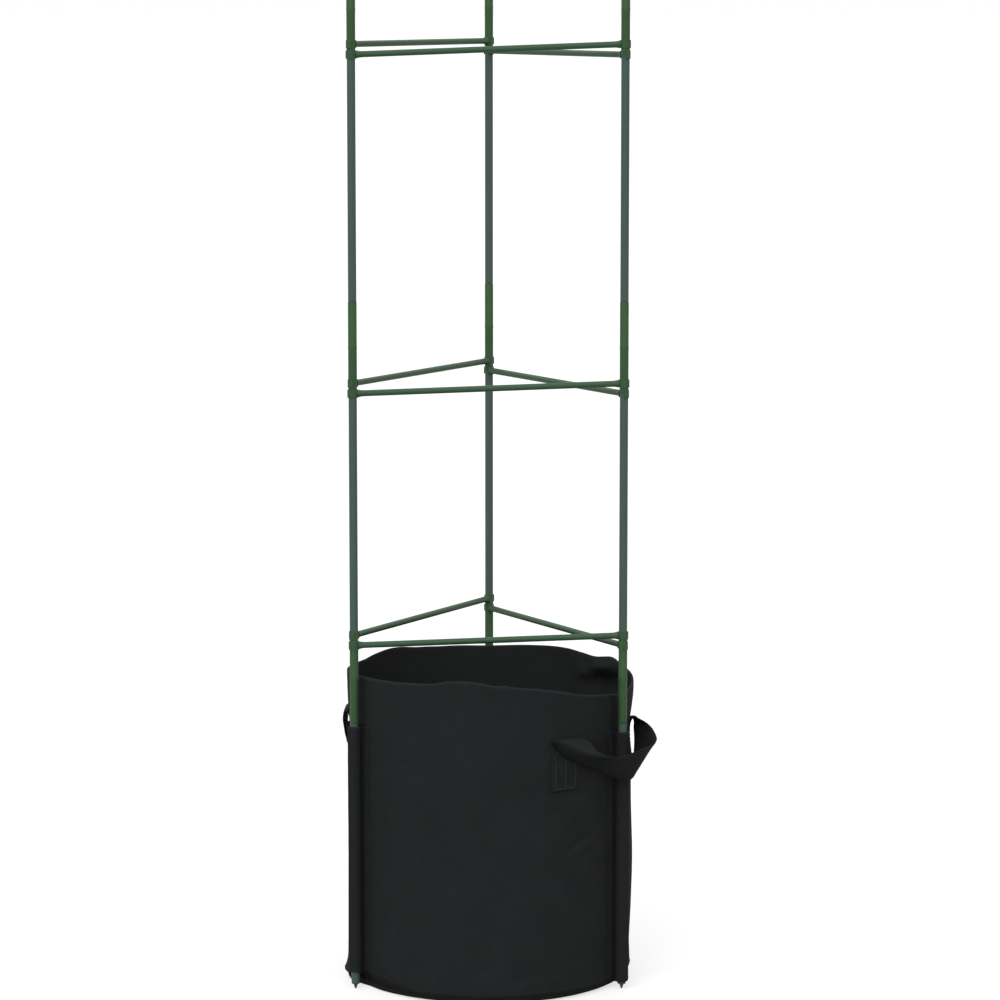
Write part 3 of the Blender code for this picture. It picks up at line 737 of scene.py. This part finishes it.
# Cuts are the stations where the sewn ends, the bends and the grip meet.
handles = {
    "right": {
        "lower": tapeEdge((-65, 0.2495), (5.7, 0.249), 0.23, [
            (-65, 1.4, 251.5), (-65, 2.6, 254), (-65, 4, 254.4), (-64.7, 5, 253.1), (-61.8, 4.5, 244.3),
            (-55.2, 3.5, 233.3), (-46.9, 5.5, 224.6), (-39.8, 14, 214.7), (-33.2, 24, 210.3),
            (-26.5, 17.4, 222.1), (-18.1, 8.9, 228.9), (-5.6, 3.3, 242.9), (1.6, 3.3, 249.2),
            (4.9, 2.8, 251.5), (5.5, 2, 252),
        ]),
        "upper": tapeEdge((-52.2, 0.2515), (-5.7, 0.2505), 0.23, [
            (-52.2, 1.4, 253), (-51.9, 3, 255), (-50.1, 10, 251.6), (-48.7, 18, 243), (-48.3, 25, 241),
            (-47.3, 29.5, 239.4), (-44.6, 32.5, 238.3), (-39.5, 35.5, 239.6), (-32.2, 41, 243.3),
            (-26.4, 40.8, 246.8), (-20.9, 30.4, 253.2), (-14, 17.5, 256), (-8.6, 8.1, 256.3),
            (-6.3, 4.8, 257.2), (-5.8, 2.4, 255.5),
        ]),
        # how far the tape's middle stands off the straight line between its edges, in mm
        "belly": (0, 0, 0, 0.2, 0.4, 0.6, 0.8, 1, 1, 1, 0.8, 0.6, 0.8, 1.6, 1.8, 1.2, 0.6, 0, 0, 0, 0),
        "ends": (-58.6, 0.0),
        "cuts": (2, 8, 13, 18),
    },
    "left": {
        "lower": tapeEdge((181.7, 0.244), (110.8, 0.244), 0.226, [
            (181.7, 1, 257.5), (181.6, 0.8, 260.6), (181.4, 2.1, 258.8), (181, 3, 251),
            (179.4, 1.5, 238.5), (171, 2.2, 227), (159, 9, 216), (146.2, 15, 210), (134.5, 12.5, 214),
            (124.5, 7.6, 225), (118.5, 5.6, 235), (115.3, 5, 244), (112.6, 4.6, 250), (111.5, 4, 252.5),
            (110.9, 2, 250),
        ]),
        "upper": tapeEdge((170.3, 0.252), (122.2, 0.252), 0.23, [
            (170.3, 1, 259), (170.2, 1.2, 262), (170, 2.8, 261), (169.4, 4.4, 256.2),
            (167.6, 3.6, 250.8), (164, 6.5, 244), (156.5, 13, 238), (146.2, 17.5, 236),
            (137, 15.5, 239.5), (129.5, 11.4, 247), (126.2, 8.4, 253), (124.2, 6.6, 256),
            (123.3, 5.4, 258.2), (122.7, 3.8, 259.5), (122.3, 2, 258),
        ]),
        "belly": (0, 0, 0, 0, 0.2, 0.4, 0.6, 1, 1.6, 2, 2, 2, 1.8, 1.2, 0.8, 0.6, 0.2, 0, 0, 0, 0),
        "ends": (176.0, 116.5),
        "cuts": (2, 9, 11, 18),
    },
}


# Tape: lines across from edge to edge, on the wall where they are sewn and straight where they
# are free. The belly bows them off their plane, then they are thickened both ways. The tape
# folds along a slant: painted highlight above the fold, painted shade below it, painted shadow along
# its lower edge.
def makeTape(name, handle, first, last, body=None, stands=()):
    spans = len(handle["lower"]) - 1
    where = np.linspace(first / spans, last / spans, (last - first) * tape["rowsPerSpan"] + 1)
    step = 1e-3
    way = math.copysign(1.0, turnBetween(handle["ends"][1], handle["ends"][0]))
    across = 0.5 - 0.5 * np.cos(np.linspace(0, math.pi, tape["columns"]))
    across = 0.35 * across + 0.65 * np.linspace(0, 1, tape["columns"])

    def linesAt(where):
        where = held(where)
        free = held((np.minimum(where, 1 - where) * spans - 2) / 3)[:, None]
        lower, upper = (smoothRun(handle[edge], where)[:, None] for edge in ("lower", "upper"))
        angle, out, height = np.moveaxis(lower + (upper - lower) * across[:, None], -1, 0)
        lines = polar(angle, bag["radius"] + out + wallShift(angle, height) * (1 - free), height)
        chords = lines[:, :1] + (lines[:, -1:] - lines[:, :1]) * across[:, None]
        return lines + (chords - lines) * free[..., None]

    def sheetAt(where):
        lines = linesAt(where)
        inner = np.clip(where, step, 1 - step)
        ahead = (linesAt(inner + step) - linesAt(inner - step)).mean(1)
        lift = unit(np.cross(ahead, lines[:, -1] - lines[:, 0]) * way)
        bow = smoothRun(np.array(handle["belly"])[:, None] / 1000, held(where))
        return lines + lift[:, None] * (bow * (1 - np.abs(2 * across - 1) ** tape["ridge"]))[..., None]

    surface = sheetAt(where)
    ahead = sheetAt(where + step) - sheetAt(where - step)
    normal = unit(np.cross(ahead, np.gradient(surface, axis=1)))
    edge = np.minimum(across, 1 - across)
    half = tape["thickness"] / 2 * np.where(edge < 0.001, 0.55, 1.0)
    half = normal * (half * (1 + 0.12 * hill((edge - 0.07) / 0.04)))[:, None]
    section = np.concatenate([surface + half, (surface - half)[:, ::-1]], 1)
    samples = np.linspace(0, 1, 481)
    runs = np.linalg.norm(np.diff(sheetAt(samples), axis=0), axis=2).mean(1)
    lengthAt = np.interp(where, samples, np.append(0, np.cumsum(runs)))
    width = across * tape["width"]
    acrossUv = np.concatenate([width, width[::-1], width[:1]])
    uv = np.stack(np.broadcast_arrays(acrossUv, lengthAt[:, None]), -1)
    share = np.concatenate([across, across[::-1]])
    station = (np.minimum(where, 1 - where) * spans)[:, None]
    foldAt, slant = tape["fold"]
    past = station - foldAt - slant * share
    turned = held(past / 0.8)
    # painted highlight before the fold, painted shade after it and painted shadow along the lower edge
    paintedLight = tape["crestHighlight"] * hill(past + 0.7) * (1 - turned)
    paintedLight = paintedLight + tape["underShade"] * hill(past / 2.6) * turned
    paintedLight = paintedLight + tape["edgeShade"] * hill(share / 0.12) * held(station - 4)
    shell = gridShell(section, uv, round=True, capped=True)
    return makePiece(name, [shell], blackTape, body, stands, paintedLight=paintedLight)


# Stitches that hold a sewn end: a box with a line up its middle.
def endStitches(centre):
    low, high, side = tape["box"]
    turn = math.degrees(side / bag["radius"])
    paths = [(a, low, a, high) for a in (-turn, 0, turn)] + [(-turn, h, turn, h) for h in (low, high)]
    rows = []
    for a, h, a2, h2 in paths:
        angle = centre + np.linspace(a, a2, 30)
        height = np.linspace(h, h2, 30)
        radius = wallRadius(angle, height) + (tape["sewnOut"] + tape["thickness"] / 2)
        rows.append(stitchRow(polar(angle, radius, height), outward(angle), stitch["tapePitch"]))
    return rows


# The sewn ends ride on the bag, the grip on its own body; the bends ride on neither. For each
# bend a start and an end are worked out, out from the sewn end, down and towards the middle of the
# loop, but not used.
def makeHandles():
    (height, out), (inward, downward), span = tape["bendFrom"], tape["bendLean"], tape["bendSpan"]
    for side, handle in handles.items():
        body = "handle_" + side
        cuts, last = handle["cuts"], len(handle["lower"]) - 1
        pieces = (("front", handle["ends"][0], (0, cuts[0]), cuts[:2]),
                  ("back", handle["ends"][1], (cuts[3], last), cuts[2:]))
        for spot, centre, sewn, bent in pieces:
            tail = f"{side}_{spot}"
            makeTape(f"handle_end_{tail}_tape", handle, *sewn, "bag", (f"handle_end_{tail}",))
            makePiece(f"handle_stitches_{tail}", endStitches(centre), tapeThread, "bag")
            bend = makeTape(f"handle_bend_{tail}", handle, *bent)
            toward = np.sign(turnBetween(sum(handle["ends"]) / 2, centre))
            lean = outward(centre) + inward * toward * sideways(centre) + np.array([0, 0, downward])
            origin = polar(centre, wallRadius(centre, height) + out, height)
            start, end = (tuple(origin + lean / np.dot(lean, lean) * share) for share in span)
            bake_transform(bend)
            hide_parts(body)
        makeTape(f"handle_grip_{side}", handle, cuts[1], cuts[2], body, (body,))


makeHandles()
print("handles made")

# Poles
pole = {
    "radius": 0.004, "wall": 0.0008, "sides": 40,
    "fromMiddle": 0.14896,  # of the bag to the pole's axis
    "ends": (0.0065, 0.3062, 0.6247, 0.9432, 1.2617),  # heights where sections meet
    "spigot": 0.0032, "spigotWall": 0.0007, "reach": 0.04365,
    "gap": 0.0003, "ease": 0.0002,
}
polePlaces = {side: polar(angle, pole["fromMiddle"], 0.0) for side, angle in poleAngles.items()}


# Profiles of (radius, height) pairs turned about the poles' axes, each a piece on every pole.
def makeTurned(name, node, profiles, sides, closed, material):
    angle = np.arange(sides) * 360.0 / sides
    for side, place in polePlaces.items():
        for i, profile in enumerate(profiles):
            radius, height = np.array(profile).T[..., None]
            points = polar(angle, radius, height) + place
            shell = gridShell(points, round=True, along=closed, capped=not closed)
            tail = side + (f"_{i + 1}" if len(profiles) > 1 else "")
            makePiece(f"{name}_{tail}", [shell], material, "cage", (f"{node}_{tail}",))


# A pole section: outside from top to bottom, then the bore back up. Necks go into the couplers.
def poleProfile(low, high, below, above):
    p, gap, ease = pole, pole["gap"], pole["ease"]
    neck, bore = p["spigot"] - p["spigotWall"], p["radius"] - p["wall"]
    top = high - (p["reach"] + gap) * above
    bottom = low + (p["reach"] + gap) * below
    outer, inner = [], []
    if above:
        outer += [(p["spigot"], high - gap), (p["spigot"], top)]
        inner += [(neck, high - gap), (neck, top - p["wall"])]
    outer += [(p["radius"] - ease, top), (p["radius"], top - ease), (p["radius"], bottom + ease),
              (p["radius"] - ease, bottom)]
    inner += [(bore, top - p["wall"] * above), (bore, bottom + p["wall"] * below)]
    if below:
        outer += [(p["spigot"], bottom), (p["spigot"], low + gap)]
        inner += [(neck, bottom + p["wall"]), (neck, low + gap)]
    return outer + inner[::-1]


ends, last = pole["ends"], len(pole["ends"]) - 2
profiles = [poleProfile(ends[i], ends[i + 1], i > 0, i < last) for i in range(last + 1)]
makeTurned("tube", "pole", profiles, pole["sides"], True, tubeGreen)


# Sines and cosines of a quarter turn, for rounded edges.
def quarter(count):
    return [(math.sin(t), math.cos(t)) for t in np.linspace(0, math.pi / 2, count)]


# Couplers
coupler = {
    "radius": 0.0042, "bore": 0.0035, "length": 0.0873, "soft": 0.0004, "sides": 44,
    "ring": (0.00012, 0.0011, 0.0016),  # stop ring: how far out, half its height there and at its foot
}


# Sleeve over a joint: rounded lips at both ends and a faint stop ring in the middle.
def couplerProfile(middle):
    r, half, soft = coupler["radius"], coupler["length"] / 2, coupler["soft"]
    out, top, foot = coupler["ring"]
    lip = [(r - soft + soft * sine, half - soft + soft * cosine) for sine, cosine in quarter(5)]
    ring = [(r, foot), (r + out, top), (r + out, -top), (r, -foot)]
    bore = [(coupler["bore"], -half), (coupler["bore"], half)]
    return [(r, h + middle) for r, h in lip + ring + [(r, -h) for r, h in lip[::-1]] + bore]


profiles = [couplerProfile(middle) for middle in pole["ends"][1:-1]]
makeTurned("joint_sleeve", "coupler", profiles, coupler["sides"], True, couplerGreen)

# Spikes and caps
shank = {"taper": (0.0006, 0.0014), "edge": 0.0001}
spike = {"tip": 0.0003, "shank": 0.016, "hub": 0.0006, "flange": 0.001, "soft": 0.0004,
         "neck": 0.0021, "point": 0.0008}
cap = {"shank": 0.012, "hub": 0.0005, "height": 0.0035, "soft": 0.0014}


# What is pushed into a tube, from its end to its seat and round the edge there. Way is 1 where
# it points up, -1 where it points down; the hub is the small flat that closes its end.
def shankProfile(piece, seat, way):
    r, edge = pole["radius"], shank["edge"]
    bore, end = r - pole["wall"] - pole["gap"], seat + way * piece["shank"]
    inward, back = shank["taper"]
    return [(piece["hub"], end), (bore - inward, end), (bore, end - way * back), (bore, seat),
            (r - edge, seat), (r, seat - way * edge)]


# Spike: its shank, a rounded flange, then a taper to the tip.
def spikeProfile():
    seat, soft = pole["ends"][0] - pole["gap"], spike["soft"]
    r, under, neck = pole["radius"], seat - spike["flange"], spike["neck"]
    lip = [(r - soft + soft * cosine, under + soft - soft * sine) for sine, cosine in quarter(4)]
    taper = [(neck + soft, under), (neck, under - soft),
             (spike["point"] + 0.0001, spike["tip"] + 0.0006), (spike["point"] * 0.5, spike["tip"])]
    return shankProfile(spike, seat, 1) + lip + taper


# Cap: a dome over its shank.
def capProfile():
    seat, soft = pole["ends"][-1] + pole["gap"], cap["soft"]
    r, top = pole["radius"], seat + cap["height"]
    dome = [(r - soft + soft * sine, top - soft + soft * cosine) for sine, cosine in quarter(7)]
    return [(cap["hub"], top)] + dome + shankProfile(cap, seat, -1)[::-1]


spikes, caps = [spikeProfile()], [capProfile()]
makeTurned("foot_spike", "ground_spike", spikes, pole["sides"], False, spikeGreen)
makeTurned("top_cap", "pole_cap", caps, pole["sides"], False, couplerGreen)

# Support arms
arm = {
    "radius": 0.0029, "sides": 48,
    "levels": (0.3478, 0.5905, 0.9107), "drop": 0.0098,  # upper clips; how much lower the others are
    "rings": (0.0, 0.0008, 0.0018, 0.003, 0.0045, 0.0065, 0.009, 0.012),  # from a clip onwards
    "swell": (0.00085, 0.0028),  # at a clip: how much thicker, over what length
    "mouldLine": 0.00007,
    "clipInside": 0.0043, "clipWall": 0.00085, "clipHeight": 0.0078,
    "clipSpread": 125.0,  # degrees to each side of its back
    "lip": (24.0, 0.00075),  # degrees at each end that turn outwards, how far out
    # first pole, second pole, and whether each end is the lower of its pair
    "front": ("left", "right", 1, 0),
    "back_left": ("left", "back", 0, 0),
    "back_right": ("right", "back", 1, 1),
}


# Rod: a circle carried from pole to pole, swollen at its clips, with a fine mould line along
# its top and underside.
def rodShell(start, end):
    ahead, length = unit(end - start), np.linalg.norm(end - start)
    reach = arm["clipInside"] + arm["clipWall"] * 0.25
    rings = np.array(arm["rings"])
    between = np.linspace(reach + 0.03, length - reach - 0.03, 12)
    run = np.concatenate([reach + rings, between, length - reach - rings[::-1]])[:, None]
    near = np.minimum(run - reach, length - reach - run)
    thicker, spread = arm["swell"]
    swell = thicker * hill(near / spread, 1.6)
    turn = np.arange(arm["sides"]) * math.tau / arm["sides"]
    radius = arm["radius"] + swell + arm["mouldLine"] * hill((np.abs(np.sin(turn)) - 1) / 0.02)
    across = unit(np.cross([0, 0, 1.0], ahead))
    upward = np.cross(ahead, across)
    points = (start + run * ahead)[:, None] + radius[..., None] * (
        np.cos(turn)[:, None] * across + np.sin(turn)[:, None] * upward)
    return gridShell(points, round=True, capped=True)


# Clip: a rounded strip carried round the pole, open to the middle of the cage, thinner at its
# back, its two lips turned a little outwards.
def clipShell(centre, facing):
    spread, (lip, out) = arm["clipSpread"], arm["lip"]
    turn = np.linspace(-spread, spread, 61)[:, None]
    past = held((np.abs(turn) - (spread - lip)) / lip)
    back = held((np.abs(turn) - 15) / 60)
    wall = arm["clipWall"] * (0.5 + 0.5 * back ** 2 * (3 - 2 * back)) * (1 - 0.25 * past)
    middle = arm["clipInside"] + wall / 2 + out * past ** 2
    half = arm["clipHeight"] / 2 - 0.0005 * past ** 2
    corner = np.linspace(0, math.tau, 20, endpoint=False) + math.pi / 20
    boxX = np.sign(np.cos(corner)) * np.abs(np.cos(corner)) ** 0.45
    boxZ = np.sign(np.sin(corner)) * np.abs(np.sin(corner)) ** 0.16
    points = polar(turn + facing, middle + boxX * wall / 2, boxZ * half) + centre
    return gridShell(points, round=True, capped=True)


# Each arm is a rod and two clips that face the middle of the cage.
def makeArms():
    for kind in ("front", "back_left", "back_right"):
        first, second, firstLow, secondLow = arm[kind]
        for i, level in enumerate(arm["levels"]):
            start = polePlaces[first] + np.array([0, 0, level - arm["drop"] * firstLow])
            end = polePlaces[second] + np.array([0, 0, level - arm["drop"] * secondLow])
            middle = (start + end)[:2]
            facing = math.degrees(math.atan2(middle[1], middle[0]))
            name = f"arm_{kind}_{i + 1}"
            makePiece(f"support_{kind}_{i + 1}", [rodShell(start, end), clipShell(start, facing),
                      clipShell(end, facing)], armGreen, name, (name,))


makeArms()
print("cage made")

# Floor, lamps and background
studio = {
    "sky": 0.40,
    "floorGlow": 0.68,
    "floorReach": 60.0, "floorNear": -8.0, "floorHeight": -0.0002,
    # name, power, then degrees: angle of the disc, tilt from straight down, heading
    "lamps": (("key", 1.9, 50.0, 46.0, -14.0), ("top", 1.0, 150.0, 0.0, 0.0),
              ("back", 0.5, 90.0, -55.0, 0.0)),
}


# 1 for rays that show the surroundings themselves: seen, mirrored or seen through something.
def shownRays(graph):
    kinds = ("Camera", "Glossy", "Transmission")
    return sum(graph.node("LightPath", output=f"Is {kind} Ray") for kind in kinds).maths("MINIMUM", 1.0)


def makeFloor():
    mesh = bpy.data.meshes.new("floor")
    reach, near, height = studio["floorReach"], studio["floorNear"], studio["floorHeight"]
    corners = ((-reach, near), (reach, near), (reach, 2 * reach), (-reach, 2 * reach))
    mesh.from_pydata([(x, y, height) for x, y in corners], [], [(0, 1, 2, 3)])
    floor = bpy.data.objects.new("floor", mesh)
    scene.collection.objects.link(floor)
    material, graph = newMaterial("pale floor", {
        "Base Color": (*finishes["floor"], 1.0), "Roughness": 0.9, "Specular IOR Level": 0.0})
    tree = material.node_tree
    strength = shownRays(graph) * studio["floorGlow"]
    glow = graph.node("Emission", None, {"Color": (1, 1, 1, 1), "Strength": strength})
    plain = Socket(tree, tree.nodes["Principled BSDF"].outputs[0])
    both = graph.node("AddShader", None, {0: plain, 1: glow})
    tree.links.new(both.socket, tree.nodes["Material Output"].inputs["Surface"])
    mesh.materials.append(material)


def makeWorld():
    world = bpy.data.worlds.new("studio")
    world.use_nodes = True
    tree = world.node_tree
    graph = Socket(tree)
    background = tree.nodes["Background"]
    strength = shownRays(graph) * (1.0 - studio["sky"]) + studio["sky"]
    tree.links.new(strength.socket, background.inputs["Strength"])
    background.inputs["Color"].default_value = (1, 1, 1, 1)
    scene.world = world


# Broad soft suns: key from just left of the camera, one straight overhead, a weak one from behind.
def makeLamps():
    for name, power, angle, tilt, heading in studio["lamps"]:
        lamp = bpy.data.lights.new(name, "SUN")
        lamp.energy = power
        lamp.angle = math.radians(angle)
        lampObject = bpy.data.objects.new(name, lamp)
        lampObject.rotation_euler = (math.radians(tilt), 0.0, math.radians(heading))
        scene.collection.objects.link(lampObject)


makeFloor()
makeWorld()
makeLamps()
print("studio set")
